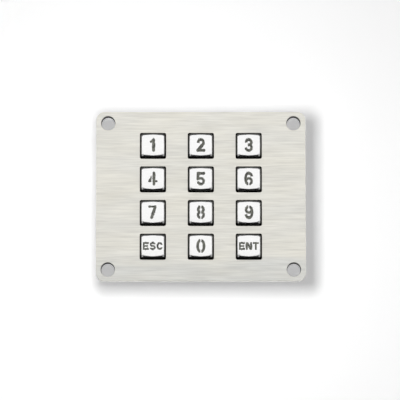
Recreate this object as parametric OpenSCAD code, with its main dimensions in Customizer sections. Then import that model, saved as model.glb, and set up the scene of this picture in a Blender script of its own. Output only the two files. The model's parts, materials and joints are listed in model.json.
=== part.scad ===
// Panel-mounted metal keypad with backlit stencil legends, millimetres.
// The plate stands upright: +X right, +Z up, +Y into the wall, and the keys face -Y.
// The origin is the centre of the corner-hole pattern on the plate's rear plane.

/* [Front plate] */
// Width of the plate
plate_w = 105; // [103:0.5:120]
// Height of the plate
plate_h = 85.5; // [84:0.5:100]
// Thickness of the plate
plate_t = 3; // [2:0.5:4]
// Radius of the plate's corners
plate_r = 4; // [2:0.5:5]
// Distance between the corner holes along the width
hole_pitch_x = 93; // [92:0.5:94]
// Distance between the corner holes along the height
hole_pitch_z = 74; // [73:0.5:74]
// Diameter of the corner holes
hole_d = 7; // [4:0.5:7]

/* [Keys] */
// Distance between key columns
key_pitch_x = 24; // [20:0.5:24]
// Distance between key rows
key_pitch_z = 17; // [16.8:0.1:17.2]
// Side of a key's opening in the plate
opening_w = 13; // [12.8:0.1:13.2]
// Corner radius of a key's opening
opening_r = 0.8; // [0.5:0.1:1.2]
// Side of a key cap
cap_w = 12.1; // [11.8:0.1:12.4]
// Corner radius of a key cap
cap_r = 1.3; // [1:0.1:1.6]
// Height of a key's crown above the plate
cap_rise = 2.6; // [1.5:0.1:3.5]
// Radius that rounds the cap's front edges
cap_edge_r = 0.9; // [0.5:0.1:1.2]
// Radius of the sphere that crowns the cap's face
crown_r = 70; // [50:5:120]
// Thickness of the cap's face and side walls
cap_wall = 0.85; // [0.7:0.05:1]
// Side of the flange that holds the cap behind the plate
flange_w = 14.6; // [14.2:0.1:14.8]
// Thickness of the flange
flange_t = 0.9; // [0.6:0.1:1.1]
// How far a key travels when it is pressed
key_travel = 1.1; // [0.6:0.1:1.1]

/* [Legends] */
// Height of a digit
digit_h = 6.8; // [6:0.1:7.2]
// Width of a digit
digit_w = 4.6; // [4.2:0.1:4.8]
// Width of a digit's stroke
digit_stroke = 1.4; // [1.3:0.05:1.5]
// Height of a word's letters
letter_h = 3.85; // [3.5:0.05:4.2]
// Width of a letter
letter_w = 3; // [2.8:0.05:3.1]
// Width of a letter's stroke
letter_stroke = 0.88; // [0.7:0.02:1]
// Gap between a word's letters
letter_gap = 0.45; // [0.35:0.05:0.5]
// Width of the metal bridges that hold the islands of a stencil figure
bridge_w = 0.4; // [0.35:0.05:0.7]
// How far the resin lies below the crown
resin_recess = 0.2; // [0:0.05:0.3]

/* [Stack behind the plate] */
// Thickness of the key guide frame
guide_t = 3.2; // [3.2:0.1:4]
// Side of a pocket in the guide frame
pocket_w = 15.4; // [15.1:0.1:15.6]
// Thickness of the keymat's sheet
mat_t = 1.2; // [1:0.1:1.5]
// Thickness of the circuit board
board_t = 1.6; // [1.2:0.2:2]
// Width of the stacked sheets
stack_w = 76; // [76:0.5:77]
// Height of the stacked sheets
stack_h = 70; // [69.5:0.5:70.5]
// Space for components behind the board
component_space = 4.5; // [4:0.5:8]

/* [Rear cover] */
// Width of the cover
cover_w = 80; // [80:0.5:81]
// Height of the cover
cover_h = 74; // [74:0.5:75]
// Thickness of the cover's walls
cover_wall = 1.5; // [1.2:0.1:1.5]
// Corner radius of the cover
cover_r = 4; // [3:0.5:5]
// Thickness of the seal between the cover and the plate
seal_t = 0.8; // [0.5:0.1:1]
// Thickness of the gasket between the plate and the panel
gasket_t = 1; // [0.5:0.1:2]
// Diameter of the welded studs
stud_d = 3; // [2.5:0.5:3]
// Distance from the middle to the outer studs along the width
stud_x = 35.2; // [35:0.1:35.4]
// Distance from the middle to the outer studs along the height
stud_z = 28; // [26:0.5:29]

/* [Hidden] */
$fn = 64;
lap = 0.5;          // how far a cutter runs past the surface that it opens
play = 0.05;        // assembly gap between neighbouring pieces
figure_play = 0.01; // the same between a figure's resin and its walls

guide_back = guide_t;
mat_back = guide_back + mat_t;
board_back = mat_back + board_t;
cover_inside = board_back + component_space;
cover_back = cover_inside + cover_wall;

crown_front = -plate_t - cap_rise;
cap_inside_w = cap_w - 2 * cap_wall;
cap_ceiling = crown_front + cap_wall + 0.1;
flange_back = play + flange_t;
inside_r = cap_r - cap_wall;

pad_t = 0.1;
pad_r = 2.4;
pad_gap = 0.6;
pill_r = 2.2;
pill_t = 0.48;
pill_back = mat_back - pad_t - play - key_travel;
pill_front = pill_back - pill_t;
dome_front = pill_front - 1.05;
dome_top_r = 3.8;
dome_base_r = 5;
dome_web = 0.7;     // radial thickness of the dome's flexing wall
light_back = dome_front - play;

led_offset = 4.9;
led_size = [1.6, 0.6, 0.8];
led_window = 1.8;

header_z = -24;
header_pins_n = 8;
pin_pitch = 2.54;
pin_w = 0.64;
header_base_t = 2.54;
header_w = header_pins_n * pin_pitch;
pin_end = cover_back + 2.8;
header_window = [header_w + 2, pin_pitch + 2.4];

chip_size = [12.8, 2.3, 7.5];
chip_z = 7;
chip_standoff = 0.1;
chip_lead_n = 10;
chip_lead_pitch = 1.27;
lead_w = 0.42;
lead_t = 0.25;
lead_reach = 1.4;
lead_knee = 1.1;    // height of a lead's bend above the board
resistor_size = [1.6, 0.55, 3];
capacitor_size = [2.6, 1.6, 3.4];

washer_t = 0.5;
washer_d = 7;
nut_t = 2.4;
nut_d = 6.35;
stud_end = cover_back + washer_t + nut_t + 0.8;
spacer_d = 5;
bore_d = stud_d + 0.4;   // holes that the studs pass through
ring_d = stud_d + 0.2;   // holes in spacers and washers
tapped_d = stud_d + 0.1;

steel = [0.85, 0.84, 0.81];
bright_steel = [0.95, 0.95, 0.94];
resin_grey = [0.36, 0.37, 0.34];
black_plastic = [0.06, 0.06, 0.065];
silicone = [0.16, 0.17, 0.18];
rubber_black = [0.04, 0.04, 0.04];
board_green = [0.05, 0.25, 0.13];
gold = [0.83, 0.66, 0.28];
zinc = [0.72, 0.73, 0.74];

// The names of the keys, row by row from the top
KEY_ROWS = [["1", "2", "3"], ["4", "5", "6"], ["7", "8", "9"], ["esc", "0", "ent"]];
// Each key as its name and the x and z of its centre
KEYS = [for (row = [0:3], column = [0:2])
    [KEY_ROWS[row][column], (column - 1) * key_pitch_x, (1.5 - row) * key_pitch_z]];
STUDS = [for (side = [-1, 1], level = [-1:1]) [side * stud_x, level * stud_z]];

// ---------- shared shapes ----------

// Extrudes an outline drawn in x and z from one depth to another
module layer(front, back) {
    translate([0, back, 0])
        rotate([90, 0, 0])
            linear_extrude(back - front)
                children();
}

// A round bar along Y
module rod(x, z, d, front, back) {
    translate([x, back, z])
        rotate([90, 0, 0])
            cylinder(d = d, h = back - front);
}

// A box given by its middle in x and z and its two depths
module block(x, z, w, h, front, back) {
    translate([x - w / 2, front, z - h / 2])
        cube([w, back - front, h]);
}

module rounded_rect(w, h, r) {
    square([w - 2 * r, h], center = true);
    square([w, h - 2 * r], center = true);
    for (x = [-1, 1], z = [-1, 1])
        translate([x * (w / 2 - r), z * (h / 2 - r)])
            circle(r);
}

module at_keys() {
    for (key = KEYS)
        translate([key[1], key[2]])
            children();
}

module at_studs(d) {
    for (stud = STUDS)
        translate(stud)
            circle(d = d);
}

module at_corner_holes(d) {
    for (x = [-1, 1], z = [-1, 1])
        translate([x * hole_pitch_x / 2, z * hole_pitch_z / 2])
            circle(d = d);
}

// ---------- figures ----------

// A straight cut with round ends
module cut(from, to, stroke) {
    run = to - from;
    translate(from)
        circle(d = stroke);
    translate(to)
        circle(d = stroke);
    translate(from)
        rotate(atan2(run[1], run[0]))
            translate([0, -stroke / 2])
                square([norm(run), stroke]);
}

// An upright oval of four arcs, whose ends have radius end_share times half its width
module oval(w, h, end_share = 0.86) {
    end_r = end_share * w / 2;
    rise = h / 2 - end_r;
    side_r = (w * w / 4 + rise * rise - end_r * end_r) / (w - 2 * end_r);
    side_top = rise * side_r / (side_r - end_r);
    for (side = [-1, 1])
        translate([0, side * rise])
            circle(end_r);
    intersection() {
        translate([side_r - w / 2, 0])
            circle(side_r, $fn = 180);
        translate([w / 2 - side_r, 0])
            circle(side_r, $fn = 180);
        square([w, 2 * side_top], center = true);
    }
}

module ring(w, h, stroke) {
    difference() {
        oval(w, h);
        oval(w - 2 * stroke, h - 2 * stroke);
    }
}

// A box from one corner to the opposite one
module zone(low, high) {
    translate(low)
        square(high - low);
}

module bridge(low, high) {
    zone([-bridge_w / 2, low], [bridge_w / 2, high]);
}

thin_stroke = 0.72 * digit_stroke;
edge_x = (digit_w - digit_stroke) / 2;
edge_z = (digit_h - digit_stroke) / 2;
top = digit_h / 2;
far = digit_h;
lower_bowl_h = 0.61 * digit_h;
upper_bowl_h = digit_h + digit_stroke - lower_bowl_h;
lower_bowl_z = lower_bowl_h / 2 - top;
upper_bowl_z = top - upper_bowl_h / 2;

module lower_bowl() {
    translate([0, lower_bowl_z])
        ring(digit_w, lower_bowl_h, digit_stroke);
}

module upper_bowl() {
    translate([0, upper_bowl_z])
        ring(0.94 * digit_w, upper_bowl_h, digit_stroke);
}

module figure_0() {
    difference() {
        ring(digit_w, digit_h, digit_stroke);
        bridge(-far, far);
    }
}

module figure_1() {
    stem_x = 0.3;
    cut([stem_x, -edge_z], [stem_x, edge_z], digit_stroke);
    cut([stem_x - 1.35, edge_z - 1.05], [stem_x, edge_z - 0.1], 0.8 * digit_stroke);
}

module figure_2() {
    difference() {
        upper_bowl();
        zone([-far, -far], [0.9, upper_bowl_z - 0.25]);
        zone([0, -far], [far, upper_bowl_z - 0.9]);
    }
    cut([edge_x - 0.3, upper_bowl_z - 0.7], [-edge_x + 0.15, -edge_z + 0.3], digit_stroke);
    cut([-edge_x, -edge_z], [edge_x, -edge_z], digit_stroke);
}

module figure_3() {
    difference() {
        union() {
            lower_bowl();
            upper_bowl();
        }
        zone([-far, lower_bowl_z + 0.1], [-0.45, upper_bowl_z - 0.1]);
    }
}

module figure_4() {
    stem_x = 0.55;
    stem_left = stem_x - digit_stroke / 2;
    bar_z = -1.3;
    difference() {
        union() {
            cut([stem_x, -edge_z], [stem_x, edge_z], digit_stroke);
            cut([stem_x - 0.2, edge_z - 0.1], [-1.65, bar_z + 0.15], thin_stroke);
            cut([-1.8, bar_z], [stem_x + 1.25, bar_z], thin_stroke);
        }
        zone([stem_left - 1.5 * bridge_w, -far], [stem_left, far]);
    }
}

module figure_5() {
    left = -edge_x + 0.15;
    difference() {
        lower_bowl();
        zone([-far, lower_bowl_z - 0.15], [-0.5, lower_bowl_z + 0.75]);
    }
    cut([left, lower_bowl_z + 1.15], [left + 0.1, edge_z], digit_stroke);
    cut([left + 0.1, edge_z], [edge_x - 0.05, edge_z], digit_stroke);
}

module figure_6() {
    difference() {
        union() {
            difference() {
                ring(digit_w, digit_h, digit_stroke);
                zone([0, -far], [far, upper_bowl_z - 0.3]);
            }
            lower_bowl();
        }
        bridge(-far, lower_bowl_z + lower_bowl_h / 2 - digit_stroke);
    }
}

module figure_7() {
    bar_z = top - thin_stroke / 2;
    right = edge_x - 0.45;
    cut([thin_stroke / 2 - digit_w / 2, bar_z], [right, bar_z], thin_stroke);
    cut([right, edge_z - 0.1], [-0.6, -edge_z], digit_stroke);
}

module figure_8() {
    difference() {
        union() {
            lower_bowl();
            upper_bowl();
        }
        bridge(-far, far);
    }
}

module letter_e() {
    for (level = [-1, 0, 1])
        translate([-letter_w / 2, level * (letter_h - letter_stroke) / 2 - letter_stroke / 2])
            square([level == 0 ? 0.88 * letter_w : letter_w, letter_stroke]);
    zone([-letter_w / 2, -letter_h / 2], [letter_stroke - letter_w / 2, letter_h / 2]);
}

module letter_n() {
    slant = 1.25 * letter_stroke;
    for (side = [-1, 1])
        translate([side * (letter_w - letter_stroke) / 2, 0])
            square([letter_stroke, letter_h], center = true);
    polygon([[-letter_w / 2, letter_h / 2], [slant - letter_w / 2, letter_h / 2],
             [letter_w / 2, -letter_h / 2], [letter_w / 2 - slant, -letter_h / 2]]);
}

module letter_t() {
    zone([-letter_w / 2, letter_h / 2 - letter_stroke], [letter_w / 2, letter_h / 2]);
    square([letter_stroke, letter_h], center = true);
}

module letter_c() {
    difference() {
        ring(letter_w + 0.1, letter_h, letter_stroke);
        zone([0.3, -0.62], [letter_w, 0.62]);
    }
}

module letter_s() {
    bowl_h = (letter_h + letter_stroke) / 2;
    bowl_z = letter_h / 2 - bowl_h / 2;
    for (turn = [0, 180])
        rotate(turn)
            difference() {
                translate([0, bowl_z])
                    rotate(90)
                        ring(bowl_h, letter_w - 0.1, letter_stroke);
                zone([0.25, -letter_h], [letter_w, bowl_z + 0.12]);
            }
}

module word(third_step) {
    translate([-letter_w - letter_gap, 0])
        letter_e();
    translate([third_step, 0])
        children(0);
    translate([letter_w + letter_gap, 0])
        children(1);
}

module figure(name) {
    if (name == "0") figure_0();
    if (name == "1") figure_1();
    if (name == "2") figure_2();
    if (name == "3") figure_3();
    if (name == "4") figure_4();
    if (name == "5") figure_5();
    if (name == "6") figure_6();
    if (name == "7") figure_7();
    if (name == "8") figure_8();
    if (name == "9") rotate(180) figure_6();
    if (name == "esc") word(0) { letter_s(); letter_c(); }
    if (name == "ent") word(0) { letter_n(); letter_t(); }
}

// A key's whole figure, grown by a small allowance or shrunk by a negative one
module figure_cut(name, allowance) {
    offset(delta = allowance)
        figure(name, $fn = 32);
}

// ---------- keys ----------

// The crowned block with rounded front edges that a cap's outside follows
module crowned_block(w, r, front, back) {
    intersection() {
        layer(front, back)
            rounded_rect(w, w, r);
        edge_profile(w, front, back);
        rotate([0, 90, 0])
            edge_profile(w, front, back);
        translate([0, front + crown_r, 0])
            sphere(crown_r, $fn = 180);
    }
}

// A bar along Z whose two front edges are rounded
module edge_profile(w, front, back) {
    linear_extrude(w, center = true) {
        translate([-w / 2, front + cap_edge_r])
            square([w, back - front - cap_edge_r]);
        translate([cap_edge_r - w / 2, front])
            square([w - 2 * cap_edge_r, back - front]);
        for (side = [-1, 1])
            translate([side * (w / 2 - cap_edge_r), front + cap_edge_r])
                circle(cap_edge_r);
    }
}

module key_cap(key) {
    color(bright_steel)
        translate([key[1], 0, key[2]])
            difference() {
                union() {
                    crowned_block(cap_w, cap_r, crown_front, flange_back);
                    layer(play, flange_back)
                        rounded_rect(flange_w, flange_w, cap_r);
                }
                layer(cap_ceiling, flange_back + lap)
                    rounded_rect(cap_inside_w, cap_inside_w, inside_r);
                layer(crown_front - lap, cap_ceiling + lap)
                    figure_cut(key[0], figure_play);
            }
}

module light_guide(key) {
    color(resin_grey)
        translate([key[1], 0, key[2]]) {
            layer(cap_ceiling, light_back)
                rounded_rect(cap_inside_w, cap_inside_w, inside_r);
            intersection() {
                layer(crown_front, cap_ceiling + lap)
                    figure_cut(key[0], -figure_play);
                translate([0, crown_front + resin_recess + crown_r, 0])
                    sphere(crown_r, $fn = 180);
            }
        }
}

module contact_pill(key) {
    color(rubber_black)
        rod(key[1], key[2], 2 * pill_r, pill_front, pill_back);
}

// ---------- front plate and its fixings ----------

module front_plate() {
    color(steel)
        layer(-plate_t, 0)
            difference() {
                rounded_rect(plate_w, plate_h, plate_r);
                at_corner_holes(hole_d);
                at_keys()
                    rounded_rect(opening_w, opening_w, opening_r);
            }
}

module weld_studs() {
    color(zinc)
        for (stud = STUDS)
            rod(stud[0], stud[1], stud_d, 0, stud_end);
}

module mounting_gasket() {
    color(rubber_black)
        layer(0, gasket_t)
            difference() {
                rounded_rect(plate_w - 2, plate_h - 2, plate_r - 1);
                rounded_rect(cover_w + 2, cover_h + 2, cover_r + 1);
                at_corner_holes(hole_d - 0.4);
            }
}

// ---------- stack behind the plate ----------

module stack_outline() {
    difference() {
        rounded_rect(stack_w, stack_h, cover_r - cover_wall);
        at_studs(bore_d);
    }
}

module key_guide_frame() {
    color(black_plastic)
        layer(0, guide_back)
            difference() {
                stack_outline();
                at_keys()
                    rounded_rect(pocket_w, pocket_w, cap_r);
            }
}

// The hollow dome under one key, at the origin
module dome_outside() {
    translate([0, guide_back, 0])
        rotate([90, 0, 0])
            cylinder(r1 = dome_base_r, r2 = dome_top_r, h = guide_back - dome_front);
}

module dome_inside() {
    hollow_r = dome_base_r - dome_web;
    translate([0, mat_back + lap, 0])
        rotate([90, 0, 0])
            cylinder(r = hollow_r, h = mat_t + lap);
    translate([0, guide_back, 0])
        rotate([90, 0, 0])
            cylinder(r1 = hollow_r, r2 = dome_top_r - dome_web, h = guide_back - pill_front + play);
}

module keymat() {
    color(silicone)
        difference() {
            union() {
                layer(guide_back, mat_back)
                    stack_outline();
                for (key = KEYS)
                    translate([key[1], 0, key[2]])
                        dome_outside();
            }
            for (key = KEYS)
                translate([key[1], 0, key[2]]) {
                    dome_inside();
                    for (side = [-1, 1])
                        block(side * led_offset, side * led_offset, led_window, led_window,
                              guide_back - lap, mat_back + lap);
                }
        }
}

module circuit_board() {
    color(board_green)
        layer(mat_back, board_back)
            stack_outline();
}

// Two half discs under each dome, which the carbon pill joins
module contact_pads() {
    color(gold)
        layer(mat_back - pad_t, mat_back)
            at_keys()
                difference() {
                    circle(pad_r);
                    square([pad_gap, 3 * pad_r], center = true);
                }
}

module backlight_leds() {
    color("white")
        for (key = KEYS, side = [-1, 1])
            block(key[1] + side * led_offset, key[2] + side * led_offset, led_size[0],
                  led_size[2], mat_back - led_size[1], mat_back);
}

module controller_chip() {
    color(black_plastic)
        block(0, chip_z, chip_size[0], chip_size[2], board_back + chip_standoff,
              board_back + chip_size[1]);
}

// Bent leads along both long sides of the chip
module chip_leads() {
    knee = board_back + lead_knee;
    color(zinc)
        for (side = [-1, 1], i = [0:chip_lead_n - 1]) {
            x = (i - (chip_lead_n - 1) / 2) * chip_lead_pitch;
            z = chip_z + side * (chip_size[2] + lead_reach) / 2;
            foot_z = chip_z + side * (chip_size[2] / 2 + lead_reach);
            block(x, z, lead_w, lead_reach, knee, knee + lead_t);
            block(x, foot_z, lead_w, lead_t, board_back, knee + lead_t);
        }
}

module board_resistors() {
    color("dimgray")
        for (x = [-26:4:-10], z = [6, 9.5])
            block(x, z, resistor_size[0], resistor_size[2], board_back,
                  board_back + resistor_size[1]);
}

module board_capacitors() {
    color("tan")
        for (x = [12, 17, 22])
            block(x, chip_z + 1, capacitor_size[0], capacitor_size[2], board_back,
                  board_back + capacitor_size[1]);
}

// ---------- connector ----------

module header_base() {
    color(black_plastic)
        difference() {
            block(0, header_z, header_w, pin_pitch, board_back, board_back + header_base_t);
            at_pins()
                block(0, 0, pin_w, pin_w, board_back - lap, board_back + header_base_t + lap);
        }
}

module header_pins() {
    color(gold)
        at_pins()
            block(0, 0, pin_w, pin_w, board_back, pin_end);
}

module at_pins() {
    for (i = [0:header_pins_n - 1])
        translate([(i - (header_pins_n - 1) / 2) * pin_pitch, 0, header_z])
            children();
}

// ---------- rear cover and what holds it ----------

module rear_cover() {
    color(black_plastic)
        difference() {
            layer(seal_t, cover_back)
                rounded_rect(cover_w, cover_h, cover_r);
            layer(seal_t - lap, cover_inside)
                rounded_rect(cover_w - 2 * cover_wall, cover_h - 2 * cover_wall,
                             cover_r - cover_wall);
            layer(cover_inside - lap, cover_back + lap)
                at_studs(bore_d);
            layer(cover_inside - lap, cover_back + lap)
                translate([0, header_z])
                    rounded_rect(header_window[0], header_window[1], 1);
        }
}

module cover_seal() {
    color(rubber_black)
        layer(0, seal_t)
            difference() {
                rounded_rect(cover_w, cover_h, cover_r);
                rounded_rect(cover_w - 2 * cover_wall, cover_h - 2 * cover_wall,
                             cover_r - cover_wall);
            }
}

// A ring round every stud
module stud_rings(outer_d, inner_d, front, back) {
    for (stud = STUDS)
        translate([stud[0], 0, stud[1]])
            difference() {
                rod(0, 0, outer_d, front, back);
                rod(0, 0, inner_d, front - lap, back + lap);
            }
}

module board_spacers() {
    color("white")
        stud_rings(spacer_d, ring_d, board_back, cover_inside);
}

module cover_washers() {
    color(zinc)
        stud_rings(washer_d, ring_d, cover_back, cover_back + washer_t);
}

module cover_nuts() {
    nut_front = cover_back + washer_t;
    color(zinc)
        for (stud = STUDS)
            translate([stud[0], 0, stud[1]])
                difference() {
                    translate([0, nut_front + nut_t, 0])
                        rotate([90, 0, 0])
                            cylinder(d = nut_d, h = nut_t, $fn = 6);
                    rod(0, 0, tapped_d, nut_front - lap, nut_front + nut_t + lap);
                }
}

// ---------- nodes ----------

front_plate();
weld_studs();
key_guide_frame();
keymat();
circuit_board();
contact_pads();
backlight_leds();
controller_chip();
chip_leads();
board_resistors();
board_capacitors();
header_base();
header_pins();
board_spacers();
rear_cover();
cover_seal();
mounting_gasket();
cover_washers();
cover_nuts();
for (key = KEYS) {
    key_cap(key);
    light_guide(key);
    contact_pill(key);
}
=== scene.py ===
import json
import math

import bmesh
import bpy
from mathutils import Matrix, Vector

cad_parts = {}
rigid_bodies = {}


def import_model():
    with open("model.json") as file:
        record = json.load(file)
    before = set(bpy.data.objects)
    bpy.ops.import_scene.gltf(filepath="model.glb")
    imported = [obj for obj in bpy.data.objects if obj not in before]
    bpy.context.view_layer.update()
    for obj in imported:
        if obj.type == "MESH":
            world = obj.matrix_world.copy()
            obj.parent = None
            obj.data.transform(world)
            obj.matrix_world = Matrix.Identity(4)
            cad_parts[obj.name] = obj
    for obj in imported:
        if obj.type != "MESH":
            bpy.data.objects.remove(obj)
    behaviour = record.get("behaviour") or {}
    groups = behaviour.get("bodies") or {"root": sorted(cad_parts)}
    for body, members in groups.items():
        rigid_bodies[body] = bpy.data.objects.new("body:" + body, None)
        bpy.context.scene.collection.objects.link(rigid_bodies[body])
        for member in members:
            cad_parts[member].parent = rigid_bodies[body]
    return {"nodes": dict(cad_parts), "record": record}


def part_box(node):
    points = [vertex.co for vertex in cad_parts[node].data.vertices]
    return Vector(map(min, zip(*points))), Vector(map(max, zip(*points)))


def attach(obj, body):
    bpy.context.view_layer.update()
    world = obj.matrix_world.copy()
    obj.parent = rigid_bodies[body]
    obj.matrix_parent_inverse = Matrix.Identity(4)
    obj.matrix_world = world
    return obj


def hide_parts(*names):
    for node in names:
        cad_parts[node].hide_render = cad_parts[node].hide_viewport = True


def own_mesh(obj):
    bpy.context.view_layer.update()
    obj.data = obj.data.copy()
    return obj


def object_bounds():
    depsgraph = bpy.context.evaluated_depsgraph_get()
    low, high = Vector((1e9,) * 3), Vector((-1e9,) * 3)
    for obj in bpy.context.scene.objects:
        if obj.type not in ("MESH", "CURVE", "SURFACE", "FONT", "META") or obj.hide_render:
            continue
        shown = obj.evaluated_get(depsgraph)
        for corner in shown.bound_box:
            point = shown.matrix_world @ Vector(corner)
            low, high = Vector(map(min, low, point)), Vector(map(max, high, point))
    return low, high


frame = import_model()
cad_low, cad_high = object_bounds()
nodes = frame["nodes"]
record = frame["record"]

MM = 0.001

# ---------------------------------------------------------------- sizes read from the frame

plate_low, plate_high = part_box("front_plate")
cap_low, cap_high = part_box("key_cap_5")
cover_low, cover_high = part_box("rear_cover")
seal_low, seal_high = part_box("cover_seal")
gasket_low, gasket_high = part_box("mounting_gasket")
guide_low, guide_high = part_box("key_guide_frame")
mat_low, mat_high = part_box("keymat")
stud_low, stud_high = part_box("weld_studs")
washer_low, washer_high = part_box("cover_washers")
nut_low, nut_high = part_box("cover_nuts")
header_low, header_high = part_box("header_base")
pin_low, pin_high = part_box("header_pins")
pill_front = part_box("contact_pill_5")[0][1]

hole_pattern = next(m for m in record["mounts"] if m["name"] == "corner_holes")["dims"]
HOLE_R = hole_pattern["hole_r_mm"] * MM
HOLES = [
    (x * hole_pattern["spacing_x_mm"] * MM / 2, z * hole_pattern["spacing_y_mm"] * MM / 2)
    for x in (-1, 1)
    for z in (-1, 1)
]

# ---------------------------------------------------------------- sizes that no box gives

PLATE_R = 4 * MM
OPENING_W = 13 * MM
OPENING_R = 0.8 * MM
CAP_W = 12.1 * MM
CAP_R = 1.3 * MM
CAP_EDGE_R = 0.9 * MM
CAP_BOW = 0.14                       # how far the corners of the crown draw in, as a share
CROWN_R = 70 * MM
FLANGE_FRONT = 0.05 * MM
EDGE = 0.12 * MM
HOLE_FLARE = 1.8
GASKET_HOLE_R = 3.3 * MM
GASKET_RIM = 1 * MM
COVER_R = 4 * MM
COVER_WALL = 1.5 * MM
STUD_D = 3 * MM
THREAD_PITCH = 0.5 * MM
HEADER_PINS = 8
LED_OFFSET = 4.9 * MM
LED_WINDOW = 1.8 * MM
DOME_BASE_R = 5 * MM
DOME_TOP_R = 3.8 * MM
DOME_WEB = 0.7 * MM
MAT_EDGE = 0.05 * MM
BORE_R = STUD_D / 2 + 0.2 * MM

KEY_NAMES = [name[len("key_cap_"):] for name in nodes if name.startswith("key_cap_")]


def middle_of(node):
    low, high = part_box(node)
    return ((low[0] + high[0]) / 2, (low[2] + high[2]) / 2)


KEYS = {name: middle_of("contact_pill_" + name) for name in KEY_NAMES}
STUD_X = stud_high[0] - STUD_D / 2
STUD_Z = stud_high[2] - STUD_D / 2
STUDS = [(side * STUD_X, level * STUD_Z) for side in (-1, 1) for level in (-1, 0, 1)]


# ---------------------------------------------------------------- shader building blocks

class Shader:
    """A material with one Principled shader, and short ways to add procedural detail to it."""

    def __init__(self, name, colour, roughness, metallic=0.0, **fixed):
        self.material = bpy.data.materials.new(name)
        self.material.use_nodes = True
        self.tree = self.material.node_tree
        self.bsdf = self.tree.nodes["Principled BSDF"]
        self.bsdf.inputs["Base Color"].default_value = (*colour, 1)
        self.bsdf.inputs["Roughness"].default_value = roughness
        self.bsdf.inputs["Metallic"].default_value = metallic
        for socket, value in fixed.items():
            self.bsdf.inputs[socket.replace("_", " ")].default_value = value
        coordinates = self.add("ShaderNodeTexCoord")
        self.place = coordinates.outputs["Object"]
        self.normal = coordinates.outputs["Normal"]
        self.last_bump = None

    def add(self, kind, **settings):
        node = self.tree.nodes.new(kind)
        for key, value in settings.items():
            setattr(node, key, value)
        return node

    def feed(self, value, socket):
        """Puts a number, a colour or another socket into a socket."""
        if hasattr(value, "is_linked"):
            self.tree.links.new(value, socket)
        elif hasattr(value, "__len__") and socket.type == "RGBA":
            socket.default_value = (*value, 1)
        else:
            socket.default_value = value

    def noise(self, size, detail=2.0, distortion=0.0, shift=0.0):
        """Noise whose blobs are about size = (x, y, z) metres."""
        mapping = self.add("ShaderNodeMapping")
        texture = self.add("ShaderNodeTexNoise")
        self.feed(self.place, mapping.inputs["Vector"])
        self.feed([1 / s for s in size], mapping.inputs["Scale"])
        self.feed((shift, shift, shift), mapping.inputs["Location"])
        self.feed(mapping.outputs["Vector"], texture.inputs["Vector"])
        self.feed(1.0, texture.inputs["Scale"])
        self.feed(detail, texture.inputs["Detail"])
        self.feed(distortion, texture.inputs["Distortion"])
        return texture.outputs["Fac"]

    def spread(self, value, low, high, start=0.3, end=0.7):
        """As value goes from start to end, the result goes from low to high."""
        node = self.add("ShaderNodeMapRange")
        for socket, given in zip(("Value", "From Min", "From Max", "To Min", "To Max"),
                                 (value, start, end, low, high)):
            self.feed(given, node.inputs[socket])
        return node.outputs["Result"]

    def mix(self, factor, first, second, blend="MIX"):
        """A colour that goes from first to second as factor goes from 0 to 1."""
        node = self.add("ShaderNodeMix", data_type="RGBA", blend_type=blend)
        self.feed(factor, node.inputs["Factor"])
        first_socket, second_socket = [s for s in node.inputs if s.type == "RGBA"]
        self.feed(first, first_socket)
        self.feed(second, second_socket)
        return next(s for s in node.outputs if s.type == "RGBA")

    def math(self, operation, first, second=0.0):
        node = self.add("ShaderNodeMath", operation=operation)
        self.feed(first, node.inputs[0])
        self.feed(second, node.inputs[1])
        return node.outputs["Value"]

    def part_of(self, vector, axis):
        split = self.add("ShaderNodeSeparateXYZ")
        self.feed(vector, split.inputs[0])
        return split.outputs[axis]

    def facing(self, start=0.55, end=0.85):
        """1 where the surface faces along Y, 0 on side walls."""
        return self.spread(self.math("ABSOLUTE", self.part_of(self.normal, "Y")), 0.0, 1.0, start, end)

    def colour(self, value):
        self.feed(value, self.bsdf.inputs["Base Color"])

    def roughness(self, value):
        self.feed(value, self.bsdf.inputs["Roughness"])

    def bump(self, height, depth):
        """Raises the surface by depth metres where height is 1, on top of earlier bumps."""
        node = self.add("ShaderNodeBump")
        self.feed(depth, node.inputs["Distance"])
        self.feed(height, node.inputs["Height"])
        if self.last_bump:
            self.feed(self.last_bump, node.inputs["Normal"])
        self.last_bump = node.outputs["Normal"]
        self.feed(self.last_bump, self.bsdf.inputs["Normal"])


def times(colour, factor):
    return tuple(min(1.0, c * factor) for c in colour)


# ---------------------------------------------------------------- materials

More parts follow.
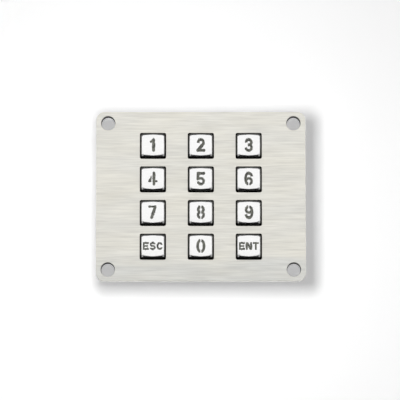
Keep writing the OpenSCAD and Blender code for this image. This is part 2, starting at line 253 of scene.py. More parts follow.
def brushed_plate():
    """Stainless sheet brushed along its width, with painted shade darkening it towards its lower rim, and
    painted shade near black on the walls of its holes and key openings.
    """
    colour = (0.850, 0.835, 0.776)
    cool, warm = (0.98, 0.985, 0.99), (1.0, 0.993, 0.968)
    # Painted shade: the plate's face is darkened, a little bluish, towards its lower rim, where the light
    # falls off.
    painted_shade_tint = (0.915, 0.93, 0.955)
    full_shade_below, unshaded_above = -36 * MM, -30 * MM
    # Painted shade: the walls of the corner holes and key openings are painted near black; the outer edge
    # keeps a lighter cut-steel colour.
    shaded_inner_wall, outer_wall = times(colour, 0.03), times(colour, 0.85)
    rim_width = 1 * MM
    s = Shader("brushed_plate", colour, 0.34, 1.0)
    hair = s.noise((9 * MM, 6 * MM, 0.28 * MM), 3.0)
    streak = s.noise((15 * MM, 8 * MM, 0.8 * MM), 2.0, distortion=0.2, shift=3.0)
    cloud = s.noise((38 * MM, 30 * MM, 12 * MM), 2.0, distortion=0.4, shift=7.0)
    grain = s.math("ADD", s.spread(hair, 0.0, 0.4), s.spread(streak, 0.0, 0.6))
    tone = s.mix(grain, times(colour, 0.89), times(colour, 1.08))
    warmth = s.mix(s.spread(cloud, 0.0, 1.0), cool, warm)
    face = s.mix(1.0, tone, warmth, "MULTIPLY")
    height = s.math("ADD", s.part_of(s.place, "Z"), s.spread(cloud, -2 * MM, 2 * MM))
    # Painted shade towards the lower rim: 1 well above it, 0 near it.
    unshaded = s.spread(height, 0.0, 1.0, full_shade_below, unshaded_above)
    face = s.mix(1.0, face, s.mix(unshaded, painted_shade_tint, (1, 1, 1)), "MULTIPLY")
    side = s.math("ABSOLUTE", s.part_of(s.place, "X"))
    end = s.math("ABSOLUTE", s.part_of(s.place, "Z"))
    rim = s.math("MAXIMUM", s.math("SUBTRACT", side, plate_high[0] - rim_width),
                 s.math("SUBTRACT", end, plate_high[2] - rim_width))
    # Wall colour: painted shade on the inner walls, cut steel at the outer edge.
    wall = s.mix(s.spread(rim, 0.0, 1.0, start=0.0, end=0.1 * MM), shaded_inner_wall, outer_wall)
    s.colour(s.mix(s.facing(), wall, face))
    s.roughness(s.spread(grain, 0.40, 0.29, start=0.0, end=1.0))
    s.bump(hair, 0.006 * MM)
    s.bump(streak, 0.010 * MM)
    return s.material


def key_metal():
    """Bright satin crown with faint handling marks; the side walls and the outer part of the rounded edge
    carry painted shade, near black.
    """
    colour = (0.97, 0.97, 0.965)
    s = Shader("key_metal", colour, 0.22, 1.0)
    grain = s.noise((0.12 * MM,) * 3, 2.0)
    marks = s.noise((5 * MM, 5 * MM, 1.2 * MM), 3.0, distortion=1.0, shift=4.0)
    front = s.facing(0.45, 0.86)
    # Painted shade: where the cap turns away from the front, its colour goes to near black.
    painted_shade_sides, handled = times(colour, 0.03), times(colour, 0.965)
    face = s.mix(s.spread(marks, 0.0, 1.0), handled, colour)
    s.colour(s.mix(front, painted_shade_sides, face))
    s.roughness(s.spread(front, 0.15, 0.2, start=0.0, end=1.0))
    s.bump(grain, 0.004 * MM)
    return s.material


def legend_resin():
    """Grey translucent resin, slightly uneven where it was poured and wiped off."""
    colour = (0.118, 0.122, 0.100)
    s = Shader("legend_resin", colour, 0.38, IOR=1.5)
    pour = s.noise((0.8 * MM, 0.8 * MM, 1.3 * MM), 3.0, distortion=0.6)
    s.colour(s.mix(s.spread(pour, 0.0, 1.0, start=0.35, end=0.65), times(colour, 0.35), times(colour, 1.5)))
    s.roughness(s.spread(pour, 0.30, 0.48))
    s.bump(pour, 0.03 * MM)
    return s.material


def moulded_plastic(name, colour, roughness=0.5, texture=0.25):
    """Moulded plastic with a spark-eroded texture of that grain in millimetres."""
    s = Shader(name, colour, roughness, IOR=1.5)
    spark = s.noise((texture * MM,) * 3, 2.0)
    flow = s.noise((18 * MM, 12 * MM, 9 * MM), 3.0, distortion=0.8, shift=2.0)
    s.colour(s.mix(s.spread(flow, 0.0, 1.0), times(colour, 0.8), times(colour, 1.25)))
    s.roughness(s.spread(spark, roughness - 0.08, roughness + 0.12))
    s.bump(spark, 0.03 * MM)
    return s.material


def rubber(name, colour, pores=0.35):
    """Matt rubber with fine pores, paler where it was dusted and handled."""
    s = Shader(name, colour, 0.78, IOR=1.5)
    pore = s.noise((pores * MM,) * 3, 3.0)
    dust = s.noise((6 * MM,) * 3, 3.0, distortion=0.6, shift=5.0)
    s.colour(s.mix(s.spread(dust, 0.0, 1.0, start=0.35, end=0.8), colour, times(colour, 1.9)))
    s.roughness(s.spread(dust, 0.72, 0.88))
    s.bump(pore, 0.05 * MM)
    return s.material


def plated_steel():
    """Zinc-plated steel with a cool cast, cloudy passivation and small wear marks."""
    colour = (0.66, 0.68, 0.71)
    s = Shader("plated_steel", colour, 0.28, 1.0)
    cloud = s.noise((2.2 * MM,) * 3, 3.0, distortion=0.8)
    scratch = s.noise((0.9 * MM, 0.25 * MM, 0.25 * MM), 2.0, distortion=1.2, shift=3.0)
    s.colour(s.mix(s.spread(cloud, 0.0, 1.0), times(colour, 0.82), times(colour, 1.1)))
    s.roughness(s.spread(scratch, 0.22, 0.42))
    s.bump(scratch, 0.012 * MM)
    return s.material


def gold_contact():
    """Gold plating, smoother in some places than in others."""
    colour = (0.86, 0.62, 0.24)
    s = Shader("gold_contact", colour, 0.22, 1.0)
    tint = s.noise((0.8 * MM,) * 3, 2.0)
    s.colour(s.mix(s.spread(tint, 0.0, 1.0), times(colour, 0.86), colour))
    s.roughness(s.spread(tint, 0.16, 0.32))
    return s.material


def board_laminate():
    """Green solder mask with the woven glass showing faintly through it."""
    colour = (0.012, 0.11, 0.05)
    bands_scale = 900.0
    s = Shader("board_laminate", colour, 0.3, IOR=1.5, Coat_Weight=0.3)
    weave = s.add("ShaderNodeTexWave", wave_type="BANDS", bands_direction="DIAGONAL")
    s.feed(s.place, weave.inputs["Vector"])
    s.feed(bands_scale, weave.inputs["Scale"])
    s.colour(s.mix(weave.outputs["Fac"], times(colour, 0.85), times(colour, 1.2)))
    s.bump(weave.outputs["Fac"], 0.01 * MM)
    return s.material


def speckled(name, colour, roughness=0.5):
    """Ceramic, epoxy or nylon of a small component, with a fine speckle."""
    s = Shader(name, colour, roughness, IOR=1.5)
    speck = s.noise((0.2 * MM,) * 3, 2.0)
    s.colour(s.mix(s.spread(speck, 0.0, 1.0), times(colour, 0.85), times(colour, 1.12)))
    s.roughness(s.spread(speck, roughness - 0.06, roughness + 0.06))
    s.bump(speck, 0.015 * MM)
    return s.material


FINISHES = {
    "brushed_plate": brushed_plate(),
    "key_metal": key_metal(),
    "legend_resin": legend_resin(),
    "carbon_rubber": rubber("carbon_rubber", (0.012, 0.012, 0.012), 0.15),
    "plated_steel": plated_steel(),
    "black_plastic": moulded_plastic("black_plastic", (0.010, 0.010, 0.011), 0.52, 0.2),
    "cover_plastic": moulded_plastic("cover_plastic", (0.022, 0.022, 0.024), 0.46, 0.3),
    "grey_silicone": rubber("grey_silicone", (0.06, 0.065, 0.07), 0.3),
    "black_rubber": rubber("black_rubber", (0.018, 0.018, 0.018), 0.4),
    "board_laminate": board_laminate(),
    "gold_contact": gold_contact(),
    "led_white": speckled("led_white", (0.85, 0.82, 0.68), 0.3),
    "chip_black": speckled("chip_black", (0.02, 0.02, 0.022), 0.5),
    "ceramic_tan": speckled("ceramic_tan", (0.42, 0.31, 0.19), 0.5),
    "nylon_white": speckled("nylon_white", (0.78, 0.78, 0.74), 0.42),
}
NODE_SLOTS = {part["node"]: part["material_slot"] for part in record["subparts"]}


def finish_cad_nodes():
    """Gives every CAD node the finish of the slot that the record names for it."""
    for node, obj in nodes.items():
        obj.data.materials.clear()
        obj.data.materials.append(FINISHES[NODE_SLOTS[node]])


finish_cad_nodes()


# ---------------------------------------------------------------- outlines, as lists of (x, z)

def rounded_rect(w, h, r, steps=8, side_steps=1, centre=(0, 0)):
    """Each corner has steps + 1 points, and each straight side side_steps - 1 more."""
    points = []
    for turn in range(4):
        corner_x = (w / 2 - r) * (1 if turn in (0, 3) else -1)
        corner_z = (h / 2 - r) * (1 if turn in (0, 1) else -1)
        for i in range(steps + 1):
            angle = math.radians(90 * (turn + i / steps))
            points.append((corner_x + r * math.cos(angle), corner_z + r * math.sin(angle)))
        last = points[-1]
        after_x = (w / 2 - r) * (1 if turn in (2, 3) else -1)
        after_z = (h / 2 - r) * (1 if turn in (0, 3) else -1)
        angle = math.radians(90 * (turn + 1))
        following = (after_x + r * math.cos(angle), after_z + r * math.sin(angle))
        for i in range(1, side_steps):
            share = i / side_steps
            points.append(tuple(a + (b - a) * share for a, b in zip(last, following)))
    return [(x + centre[0], z + centre[1]) for x, z in points]


def circle(r, centre=(0, 0), steps=48):
    return [
        (centre[0] + r * math.cos(2 * math.pi * i / steps), centre[1] + r * math.sin(2 * math.pi * i / steps))
        for i in range(steps)
    ]


def rect_outline(w, h, r, **more):
    """An outline as a function of how far it is inset; its corner radius stays above zero."""
    least_r = 0.02 * MM
    return lambda inset: rounded_rect(w - 2 * inset, h - 2 * inset, max(r - inset, least_r), **more)


def rect_hole(w, h, r, **more):
    """The same for a hole: the inset widens it."""
    return lambda inset: rounded_rect(w + 2 * inset, h + 2 * inset, r + inset, **more)


def round_hole(r, centre, flare=1.0):
    """With flare above 1 the hole's rounded edge is that much wider than it is deep."""
    return lambda inset: circle(r + inset * flare, centre)


# ---------------------------------------------------------------- mesh building blocks

class Mesh:
    """Collects rings of points into one closed surface."""

    def __init__(self):
        self.bm = bmesh.new()

    def ring(self, outline, y):
        return [self.bm.verts.new((x, y, z)) for x, z in outline]

    def joined(self, rings):
        """Quads between each ring and the next, which have the same number of points."""
        for first, second in zip(rings, rings[1:]):
            count = len(first)
            for i in range(count):
                j = (i + 1) % count
                self.bm.faces.new((first[i], first[j], second[j], second[i]))

    def closed(self, ring):
        self.bm.faces.new(ring)

    def fanned(self, ring, y):
        """Triangles from the ring to a point in its middle at depth y."""
        x = sum(v.co.x for v in ring) / len(ring)
        z = sum(v.co.z for v in ring) / len(ring)
        top = self.bm.verts.new((x, y, z))
        for i, vert in enumerate(ring):
            self.bm.faces.new((vert, ring[(i + 1) % len(ring)], top))

    def filled(self, rings):
        """A flat face bounded by the first ring, with the others as holes in it."""
        edges = []
        for ring in rings:
            for i, vert in enumerate(ring):
                pair = (vert, ring[(i + 1) % len(ring)])
                edges.append(self.bm.edges.get(pair) or self.bm.edges.new(pair))
        bmesh.ops.triangle_fill(self.bm, edges=edges, use_beauty=True)

    def done(self, name, body, slot, replaced=(), sharp=40):
        """Makes the piece, puts it on its body, and gives it its finish."""
        bmesh.ops.recalc_face_normals(self.bm, faces=self.bm.faces)
        data = bpy.data.meshes.new(name)
        self.bm.to_mesh(data)
        self.bm.free()
        return make_piece(name, data, body, slot, replaced, sharp)


def make_piece(name, data, body, slot, replaced=(), sharp=40):
    data.shade_smooth()
    data.set_sharp_from_angle(angle=math.radians(sharp))
    data.materials.clear()
    data.materials.append(FINISHES[slot])
    piece = bpy.data.objects.new(name, data)
    bpy.context.scene.collection.objects.link(piece)
    weighted = piece.modifiers.new("flat faces stay flat", "WEIGHTED_NORMAL")
    weighted.keep_sharp = True
    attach(piece, body)
    if replaced:
        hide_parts(*replaced)
    return piece


def rounded_wall(mesh, outline, front, back, front_bevel, back_bevel, steps=3):
    """Rings from the front face's edge, round it, along the wall and round to the back face."""
    rings = []
    for i in range(steps + 1):
        angle = math.radians(90 * i / steps)
        inset = front_bevel * (1 - math.sin(angle))
        rings.append(mesh.ring(outline(inset), front + front_bevel * (1 - math.cos(angle))))
    for i in range(steps + 1):
        angle = math.radians(90 * i / steps)
        inset = back_bevel * (1 - math.cos(angle))
        rings.append(mesh.ring(outline(inset), back - back_bevel * (1 - math.sin(angle))))
    mesh.joined(rings)
    return rings


def sheet(name, slot, front, back, outline, holes, front_bevel, back_bevel, replaced=()):
    """A flat sheet with holes through it and rounded edges all round."""
    mesh = Mesh()
    walls = [rounded_wall(mesh, edge, front, back, front_bevel, back_bevel) for edge in [outline] + holes]
    mesh.filled([rings[0] for rings in walls])
    mesh.filled([rings[-1] for rings in walls])
    return mesh.done(name, "housing", slot, replaced)


def turned(mesh, centre, profile, steps=48):
    """A closed ring-shaped or solid body turned about Y from (radius, y) points."""
    rings = [mesh.ring(circle(r, centre, steps), y) for r, y in profile]
    mesh.joined(rings)
    return rings


# ---------------------------------------------------------------- plate, gasket and seal

def size_of(low, high):
    return high[0] - low[0], high[2] - low[2]


def make_plate():
    w, h = size_of(plate_low, plate_high)
    openings = [rect_hole(OPENING_W, OPENING_W, OPENING_R, steps=5, centre=key) for key in KEYS.values()]
    holes = [round_hole(HOLE_R, hole, flare=HOLE_FLARE) for hole in HOLES]
    sheet("plate", "brushed_plate", plate_low[1], plate_high[1], rect_outline(w, h, PLATE_R, steps=16),
          holes + openings, EDGE, EDGE, ["front_plate"])


def make_gasket():
    """A flat ring round the cover; its screw holes are a little tighter than the plate's."""
    w, h = size_of(gasket_low, gasket_high)
    cover_w, cover_h = size_of(cover_low, cover_high)
    inside = rect_hole(cover_w + 2 * GASKET_RIM, cover_h + 2 * GASKET_RIM, COVER_R + GASKET_RIM)
    holes = [round_hole(GASKET_HOLE_R, hole) for hole in HOLES]
    sheet("gasket", "black_rubber", gasket_low[1], gasket_high[1],
          rect_outline(w, h, PLATE_R - GASKET_RIM, steps=12), [inside] + holes, 0.1 * MM, 0.25 * MM,
          ["mounting_gasket"])


def make_seal():
    w, h = size_of(seal_low, seal_high)
    inside = rect_hole(w - 2 * COVER_WALL, h - 2 * COVER_WALL, COVER_R - COVER_WALL)
    sheet("seal", "black_rubber", seal_low[1], seal_high[1], rect_outline(w, h, COVER_R), [inside],
          EDGE, EDGE, ["cover_seal"])


# ---------------------------------------------------------------- keys

def crown_depth(x, z):
    """How far the crown lies behind its highest point."""
    return (x * x + z * z) / (2 * CROWN_R)


def make_cap_block(name):
    """The outside of one cap, closed, with a skirt and the flange that holds it behind the plate."""
    mesh = Mesh()
    centre = KEYS[name]
    front = cap_low[1]
    flange_w = cap_high[0] - cap_low[0]
    flange_back = cap_high[1]
    round_steps = 8
    face_rings = 11
    layout = {"steps": 6, "side_steps": 9}

    def crowned_ring(outline, drop):
        return [mesh.bm.verts.new((centre[0] + x, front + crown_depth(x, z) + drop, centre[1] + z))
                for x, z in outline]

    def bowed(outline, inset):
        """Draws the corners in, the more the further in the ring is, so that its sides bow out."""
        pull = CAP_BOW * inset / CAP_EDGE_R / (CAP_W / 2) ** 2
        return [(x * (1 - pull * abs(x * z)), z * (1 - pull * abs(x * z))) for x, z in outline]

    rings = [
        mesh.ring(rounded_rect(flange_w, flange_w, CAP_R, centre=centre, **layout), flange_back),
        mesh.ring(rounded_rect(flange_w, flange_w, CAP_R, centre=centre, **layout), FLANGE_FRONT),
        mesh.ring(rounded_rect(CAP_W, CAP_W, CAP_R, centre=centre, **layout), FLANGE_FRONT),
        mesh.ring(rounded_rect(CAP_W, CAP_W, CAP_R, centre=centre, **layout), plate_low[1]),
    ]
    for i in range(round_steps + 1):
        angle = math.radians(90 * i / round_steps)
        inset = CAP_EDGE_R * (1 - math.cos(angle))
        outline = bowed(rounded_rect(CAP_W - 2 * inset, CAP_W - 2 * inset, CAP_R, **layout), inset)
        rings.append(crowned_ring(outline, CAP_EDGE_R * (1 - math.sin(angle))))
    edge = outline
    for i in range(1, face_rings):
        share = 1 - i / face_rings
        rings.append(crowned_ring([(x * share, z * share) for x, z in edge], 0.0))
    mesh.joined(rings)
    mesh.fanned(rings[-1], front)
    mesh.closed(rings[0])
    bmesh.ops.recalc_face_normals(mesh.bm, faces=mesh.bm.faces)
    data = bpy.data.meshes.new("cap_block")
    mesh.bm.to_mesh(data)
    mesh.bm.free()
    return data


def make_figure_cutter(name):
    """The light guide's own shape, with its figure run out past the cap's crown."""
    reach = 0.6 * MM
    weld = 0.0005 * MM
    cutter = bmesh.new()
    cutter.from_mesh(nodes["light_guide_" + name].data)
    bmesh.ops.remove_doubles(cutter, verts=cutter.verts, dist=weld)
    figure_front = cap_low[1] + 0.6 * MM
    guide_back = cap_high[1] - 0.2 * MM
    for vert in cutter.verts:
        if vert.co.y < figure_front:
            vert.co.y = cap_low[1] - reach
        elif vert.co.y > guide_back:
            vert.co.y = cap_high[1] + reach
    data = bpy.data.meshes.new("figure_cutter")
    cutter.to_mesh(data)
    cutter.free()
    return data


def cut_out(block, cutter):
    """The block's mesh with the cutter's taken away from it."""
    scene = bpy.context.scene.collection.objects
    solid = bpy.data.objects.new("solid", block)
    tool = bpy.data.objects.new("tool", cutter)
    scene.link(solid)
    scene.link(tool)
    difference = solid.modifiers.new("cut", "BOOLEAN")
    difference.operation = "DIFFERENCE"
    difference.solver = "EXACT"
    difference.object = tool
    bpy.context.view_layer.update()
    graph = bpy.context.evaluated_depsgraph_get()
    result = bpy.data.meshes.new_from_object(solid.evaluated_get(graph))
    bpy.data.objects.remove(solid)
    bpy.data.objects.remove(tool)
    return result


def make_caps():
    for name in KEY_NAMES:
        data = cut_out(make_cap_block(name), make_figure_cutter(name))
        make_piece("cap_" + name, data, "key_" + name, "key_metal", ["key_cap_" + name], sharp=35)


# ---------------------------------------------------------------- keymat

def make_keymat():
    """A sheet with two light windows for each key, and a dome for each key."""
    w, h = size_of(guide_low, guide_high)
    hollow_r = DOME_BASE_R - DOME_WEB
    windows = [
        rect_hole(LED_WINDOW, LED_WINDOW, 0.1 * MM, steps=2,
                  centre=(x + side * LED_OFFSET, z + side * LED_OFFSET))
        for x, z in KEYS.values()
        for side in (-1, 1)
    ]
    hollows = [round_hole(hollow_r, key) for key in KEYS.values()]
    bores = [round_hole(BORE_R, stud) for stud in STUDS]
    base = guide_high[1]
    sheet("mat_sheet", "grey_silicone", base, mat_high[1], rect_outline(w, h, COVER_R - COVER_WALL),
          windows + hollows + bores, MAT_EDGE, MAT_EDGE, ["keymat"])

    top = mat_low[1]
    ceiling = pill_front - 0.05 * MM
    bevel = 0.1 * MM
    outside = [(DOME_BASE_R, base), (DOME_TOP_R + bevel, top + 2 * bevel), (DOME_TOP_R - bevel, top)]
    inside = [(DOME_TOP_R - DOME_WEB, ceiling), (hollow_r, base)]
    for name, centre in KEYS.items():
        mesh = Mesh()
        rings = turned(mesh, centre, outside)
        mesh.fanned(rings[-1], top)
        hollow = turned(mesh, centre, inside)
        mesh.fanned(hollow[0], ceiling)
        mesh.joined([rings[0], hollow[-1]])
        dome = mesh.done("dome_" + name, "housing", "grey_silicone")
        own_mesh(dome)


# ---------------------------------------------------------------- rear cover

def make_cover():
    """A moulded tray, closed at the back, with a header window, bores, sinks and a blank panel."""
    mesh = Mesh()
    w, h = size_of(cover_low, cover_high)
    front, back = cover_low[1], cover_high[1]
    inner_back = back - COVER_WALL
    edge_r = 1.2 * MM
    outer = rect_outline(w, h, COVER_R, steps=12)
    inner = rect_outline(w - 2 * COVER_WALL, h - 2 * COVER_WALL, COVER_R - COVER_WALL, steps=12)

    outside = rounded_wall(mesh, outer, front, back, 0.15 * MM, edge_r, steps=6)
    inside = [mesh.ring(inner(0), front), mesh.ring(inner(0), inner_back - 0.4 * MM),
              mesh.ring(inner(0.4 * MM), inner_back)]
    mesh.joined(inside)
    mesh.joined([outside[0], inside[0]])

    header_w, header_h = size_of(header_low, header_high)
    header_z = (header_high[2] + header_low[2]) / 2
    through = [rect_hole(header_w + 2 * MM, header_h + 2.4 * MM, 1 * MM, centre=(0, header_z))]
    through += [round_hole(BORE_R, stud) for stud in STUDS]
    walls = [rounded_wall(mesh, edge, inner_back, back, 0.05 * MM, 0.3 * MM) for edge in through]

    def sunk(outline, depth, bevel=0.15 * MM):
        """A recess with a bevelled edge in the back face; returns its mouth."""
        mouth = mesh.ring(outline(bevel), back)
        rings = [mouth, mesh.ring(outline(0), back - bevel), mesh.ring(outline(0), back - depth)]
        mesh.joined(rings)
        mesh.filled([rings[-1]])
        return mouth

    panel = sunk(rect_hole(38 * MM, 22 * MM, 2 * MM, centre=(0, 7 * MM)), 0.35 * MM)
    ejector_marks = [sunk(round_hole(2 * MM, (x * 22 * MM, z * 27 * MM)), 0.2 * MM)
                     for x in (-1, 1) for z in (-1, 1)]
    mesh.filled([outside[-1], panel] + ejector_marks + [rings[-1] for rings in walls])
    mesh.filled([inside[-1]] + [rings[0] for rings in walls])
    mesh.done("cover", "housing", "cover_plastic", ["rear_cover"])


# ---------------------------------------------------------------- studs, washers and nuts

def make_studs():
    """Plain shanks with a rolled thread and a chamfer at the end that the nut turns on."""
    mesh = Mesh()
    steps = 32
    thread_depth = 0.28 * MM
    end_chamfer = 0.45 * MM
    thread_start = cover_high[1] - 1 * MM
    rows_per_turn = 10
    rows = int((stud_high[1] - thread_start) / THREAD_PITCH * rows_per_turn)
    for x, z in STUDS:
        rings = [mesh.ring(circle(STUD_D / 2, (x, z), steps), y) for y in (stud_low[1], thread_start)]
        for row in range(1, rows + 1):
            y = thread_start + (stud_high[1] - thread_start) * row / rows
            run_in = min(1.0, (y - thread_start) / THREAD_PITCH)
            room = stud_high[1] - y
            verts = []
            for i in range(steps):
                turn = i / steps
                wave = abs(2 * ((y / THREAD_PITCH + turn) % 1) - 1)
                r = STUD_D / 2 - thread_depth * wave * run_in
                r = min(r, STUD_D / 2 - end_chamfer + room)
                angle = 2 * math.pi * turn
                verts.append(mesh.bm.verts.new((x + r * math.cos(angle), y, z + r * math.sin(angle))))
            rings.append(verts)
        mesh.joined(rings)
        mesh.fanned(rings[-1], stud_high[1])
        mesh.closed(rings[0])
    mesh.done("studs", "housing", "plated_steel", ["weld_studs"], sharp=50)


def make_washers():
    mesh = Mesh()
    front, back = washer_low[1], washer_high[1]
    outer = washer_high[0] - STUD_X
    bore = STUD_D / 2 + 0.1 * MM
    edge = 0.1 * MM
    profile = [(bore + edge, back), (bore, back - edge), (bore, front), (outer, front),
               (outer, back - edge), (outer - edge, back)]
    for stud in STUDS:
        rings = turned(mesh, stud, profile)
        mesh.joined([rings[-1], rings[0]])
    mesh.done("washers", "housing", "plated_steel", ["cover_washers"])


def make_nuts():
    """Hexagons with chamfered corners at both ends and a countersunk bore."""
    mesh = Mesh()
    front, back = nut_low[1], nut_high[1]
    corner_r = nut_high[0] - STUD_X
    flat_r = corner_r * math.cos(math.pi / 6)
    bore = STUD_D / 2 + 0.05 * MM
    countersink = 0.3 * MM
    level_gap = 0.1 * MM
    steps = 72
    slope = math.tan(math.radians(30))

    def hexagon(y):
        """The radius at each step: the hexagon, cut by the chamfer's cone near the ends."""
        limit = flat_r - 0.1 * MM + min(y - front, back - y) / slope
        radii = []
        for i in range(steps):
            angle = (2 * math.pi * i / steps) % (math.pi / 3) - math.pi / 6
            radii.append(min(flat_r / math.cos(angle), limit))
        return radii

    levels = [front + step * level_gap for step in range(6)]
    levels += [back - step * level_gap for step in range(5, -1, -1)]
    for x, z in STUDS:
        rings = [mesh.ring(circle(bore + countersink, (x, z), steps), front)]
        for y in levels:
            verts = []
            for i, r in enumerate(hexagon(y)):
                angle = 2 * math.pi * i / steps
                verts.append(mesh.bm.verts.new((x + r * math.cos(angle), y, z + r * math.sin(angle))))
            rings.append(verts)
        rings += [mesh.ring(circle(bore + countersink, (x, z), steps), back),
                  mesh.ring(circle(bore, (x, z), steps), back - countersink),
                  mesh.ring(circle(bore, (x, z), steps), front + countersink)]
        mesh.joined(rings)
        mesh.joined([rings[-1], rings[0]])
    mesh.done("nuts", "housing", "plated_steel", ["cover_nuts"], sharp=28)


# ---------------------------------------------------------------- header

def header_places():
    """The distance between pins, and each pin's (x, z)."""
    pitch = (header_high[0] - header_low[0]) / HEADER_PINS
    z = (header_high[2] + header_low[2]) / 2
    return pitch, [((i - (HEADER_PINS - 1) / 2) * pitch, z) for i in range(HEADER_PINS)]


def make_header():
    pitch, places = header_places()
    notch = 0.35 * MM
    pin_w = pin_high[2] - pin_low[2]

    def outline(inset):
        """Cells side by side, with a notch between neighbours along both long sides."""
        top = []
        for x, z in places:
            half = pitch / 2
            top += [(x - half, z + half - notch - inset), (x - half + notch, z + half - inset),
                    (x + half - notch, z + half - inset), (x + half, z + half - notch - inset)]
        low_z = 2 * places[0][1]
        points = top + [(x, low_z - z) for x, z in reversed(top)]
        unique = [p for i, p in enumerate(points) if p != points[i - 1]]
        end = header_high[0]
        return [(max(-end + inset, min(end - inset, x)), z) for x, z in unique]

    holes = [rect_hole(pin_w, pin_w, 0.05 * MM, steps=1, centre=place) for place in places]
    sheet("header", "black_plastic", header_low[1], header_high[1], outline, holes,
          0.08 * MM, 0.08 * MM, ["header_base"])

    mesh = Mesh()
    base, tip = pin_low[1], pin_high[1]
    profile = [(0.75, base), (1.0, base + 0.3 * MM), (1.0, tip - 0.7 * MM), (0.45, tip - 0.08 * MM),
               (0.3, tip)]
    for place in places:
        rings = []
        for share, y in profile:
            side = pin_w * share
            rings.append(mesh.ring(rounded_rect(side, side, 0.08 * side, steps=2, centre=place), y))
        mesh.joined(rings)
        mesh.closed(rings[0])
        mesh.closed(rings[-1])
    mesh.done("pins", "housing", "gold_contact", ["header_pins"])


make_plate()
make_gasket()
make_seal()
make_caps()
make_keymat()
make_cover()
make_studs()
make_washers()
make_nuts()
make_header()

# ---------------------------------------------------------------- camera

CAMERA_DISTANCE = 1.8
CAMERA_DROP = 8.0                    # degrees below the plate's level
FIELD = 200.3 * MM                   # width that the frame shows at the plate
AIM = Vector((-0.42 * MM, plate_low[1], -1.95 * MM))


def make_camera():
    """A long lens in front of the plate and a little below it."""
    data = bpy.data.cameras.new("camera")
    data.sensor_width = 36
    data.lens = data.sensor_width * CAMERA_DISTANCE / FIELD
    data.clip_start = 0.05
    data.clip_end = 20
    camera = bpy.data.objects.new("camera", data)
    bpy.context.scene.collection.objects.link(camera)
    drop = math.radians(CAMERA_DROP)
    back = Vector((0, -math.cos(drop), -math.sin(drop)))
    camera.location = AIM + back * CAMERA_DISTANCE
    camera.rotation_euler = (-back).to_track_quat("-Z", "Y").to_euler()
    bpy.context.scene.camera = camera


# ---------------------------------------------------------------- stage and light

WALL_Y = cad_high[1] + 13.0 * MM
WALL_HALF = 0.15
WALL_GLOW = 0.44
FLOOR_Z = -0.4
FLOOR_HALF = 6.0


def stage_material(name, grey, glow, one_sided=False):
    """A matt grey that also glows a little; one-sided, it can't be seen from its back."""
    material = bpy.data.materials.new(name)
    material.use_nodes = True
    tree = material.node_tree
    bsdf = tree.nodes["Principled BSDF"]
    bsdf.inputs["Base Color"].default_value = (grey, grey, grey, 1)
    bsdf.inputs["Roughness"].default_value = 1.0
    bsdf.inputs["Specular IOR Level"].default_value = 0.0
    bsdf.inputs["Emission Color"].default_value = (grey, grey, grey, 1)
    bsdf.inputs["Emission Strength"].default_value = glow
    if one_sided:
        clear = tree.nodes.new("ShaderNodeBsdfTransparent")
        side = tree.nodes.new("ShaderNodeNewGeometry")
        choice = tree.nodes.new("ShaderNodeMixShader")
        tree.links.new(side.outputs["Backfacing"], choice.inputs[0])
        tree.links.new(bsdf.outputs[0], choice.inputs[1])
        tree.links.new(clear.outputs[0], choice.inputs[2])
        tree.links.new(choice.outputs[0], tree.nodes["Material Output"].inputs["Surface"])
    return material


def stage_sheet(name, corners, material):
    mesh = bpy.data.meshes.new(name)
    mesh.from_pydata(corners, [], [tuple(range(len(corners)))])
    mesh.materials.append(material)
    thing = bpy.data.objects.new(name, mesh)
    bpy.context.scene.collection.objects.link(thing)
    return thing


def seen_only_by(thing, *rays):
    """Hides a stage piece from every kind of ray but these."""
    for ray in ("camera", "diffuse", "glossy", "transmission", "volume_scatter", "shadow"):
        setattr(thing, "visible_" + ray, ray in rays)


def make_stage():
    """A pale floor, a backdrop card that shows only from the front, and blinds that shade the holes."""
    corners = [(-1, -1), (1, -1), (1, 1), (-1, 1)]
    wall = stage_sheet(
        "backdrop",
        [(x * WALL_HALF, WALL_Y, z * WALL_HALF) for x, z in corners],
        stage_material("backdrop", 0.98, WALL_GLOW, one_sided=True),
    )
    seen_only_by(wall, "camera", "glossy")
    floor = stage_sheet(
        "floor",
        [(x * FLOOR_HALF, y * FLOOR_HALF, FLOOR_Z) for x, y in corners],
        stage_material("floor", 0.95, 1.0),
    )
    seen_only_by(floor, "camera")
    blind_y = gasket_high[1] + 0.1 * MM
    for i, hole in enumerate(HOLES):
        blind = stage_sheet(
            f"hole_blind_{i}",
            [(x, blind_y, z) for x, z in circle(HOLE_R + 2 * MM, hole)],
            stage_material(f"blind_{i}", 0.1, 0.0),
        )
        seen_only_by(blind, "shadow")


def area_light(name, place, aim, size, watts, diffuse=True, glossy=True):
    """A rectangular light that the camera doesn't see; diffuse and glossy say what it lights."""
    data = bpy.data.lights.new(name, "AREA")
    data.shape = "RECTANGLE"
    data.size, data.size_y = size
    data.energy = watts
    lamp = bpy.data.objects.new(name, data)
    bpy.context.scene.collection.objects.link(lamp)
    lamp.location = place
    lamp.rotation_euler = (Vector(aim) - Vector(place)).to_track_quat("-Z", "Z").to_euler()
    lamp.visible_camera = False
    lamp.visible_diffuse = diffuse
    lamp.visible_glossy = glossy


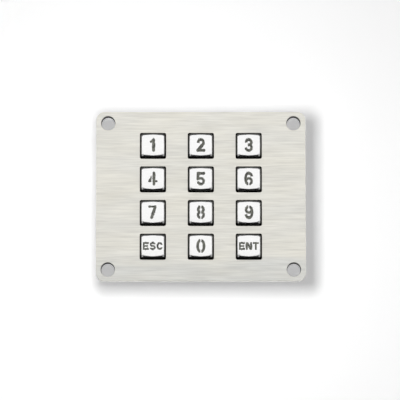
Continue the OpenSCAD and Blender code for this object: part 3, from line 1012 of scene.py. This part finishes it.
def make_lights():
    """One softbox that casts the shadow, panels that only the metal reflects, and two rear lights."""
    centre = (0, 0, 0)
    area_light("shadow_softbox", place=(-0.038, -0.37, -0.018), aim=(-0.038, 0, -0.018),
               size=(0.085, 0.11), watts=1.04, glossy=False)
    area_light("main_panel", place=(-0.2, -0.9, 0.34), aim=(-0.2, 0, 0.34),
               size=(4.2, 1.04), watts=12.9, diffuse=False)
    for side in (-1, 1):
        area_light("low_panel", place=(side * 1.1, -1.0, -0.62), aim=centre,
                   size=(0.9, 0.7), watts=0.85, diffuse=False)
    area_light("rear_left", place=(-0.9, 1.1, 0.7), aim=centre, size=(0.8, 0.8), watts=30)
    area_light("rear_right", place=(1.0, 0.9, 0.25), aim=centre, size=(0.4, 0.9), watts=14)


# (height, grey) of what the object reflects, from straight below at 0 to straight above at 1
ROOM_TONES = ((0.0, 0.005), (0.45, 0.01), (0.52, 0.08), (0.75, 0.05), (1.0, 0.05))


def make_world():
    """White to the camera; to everything else a dim room, lighter above than below."""
    world = bpy.data.worlds.new("room")
    bpy.context.scene.world = world
    world.use_nodes = True
    tree = world.node_tree
    room = tree.nodes["Background"]
    coordinates = tree.nodes.new("ShaderNodeTexCoord")
    split = tree.nodes.new("ShaderNodeSeparateXYZ")
    height = tree.nodes.new("ShaderNodeMapRange")
    height.inputs["From Min"].default_value = -1
    ramp = tree.nodes.new("ShaderNodeValToRGB")
    stops = ramp.color_ramp.elements
    for place, _ in ROOM_TONES[1:-1]:
        stops.new(place)
    for stop, (_, grey) in zip(stops, ROOM_TONES):
        stop.color = (grey, grey, grey, 1)
    white = tree.nodes.new("ShaderNodeBackground")
    white.inputs["Color"].default_value = (1, 1, 1, 1)
    path = tree.nodes.new("ShaderNodeLightPath")
    choice = tree.nodes.new("ShaderNodeMixShader")
    tree.links.new(coordinates.outputs["Generated"], split.inputs[0])
    tree.links.new(split.outputs["Z"], height.inputs["Value"])
    tree.links.new(height.outputs["Result"], ramp.inputs["Fac"])
    tree.links.new(ramp.outputs["Color"], room.inputs["Color"])
    tree.links.new(path.outputs["Is Camera Ray"], choice.inputs[0])
    tree.links.new(room.outputs[0], choice.inputs[1])
    tree.links.new(white.outputs[0], choice.inputs[2])
    tree.links.new(choice.outputs[0], tree.nodes["World Output"].inputs["Surface"])


make_camera()
make_stage()
make_lights()
make_world()
bpy.context.scene.view_settings.view_transform = "Standard"
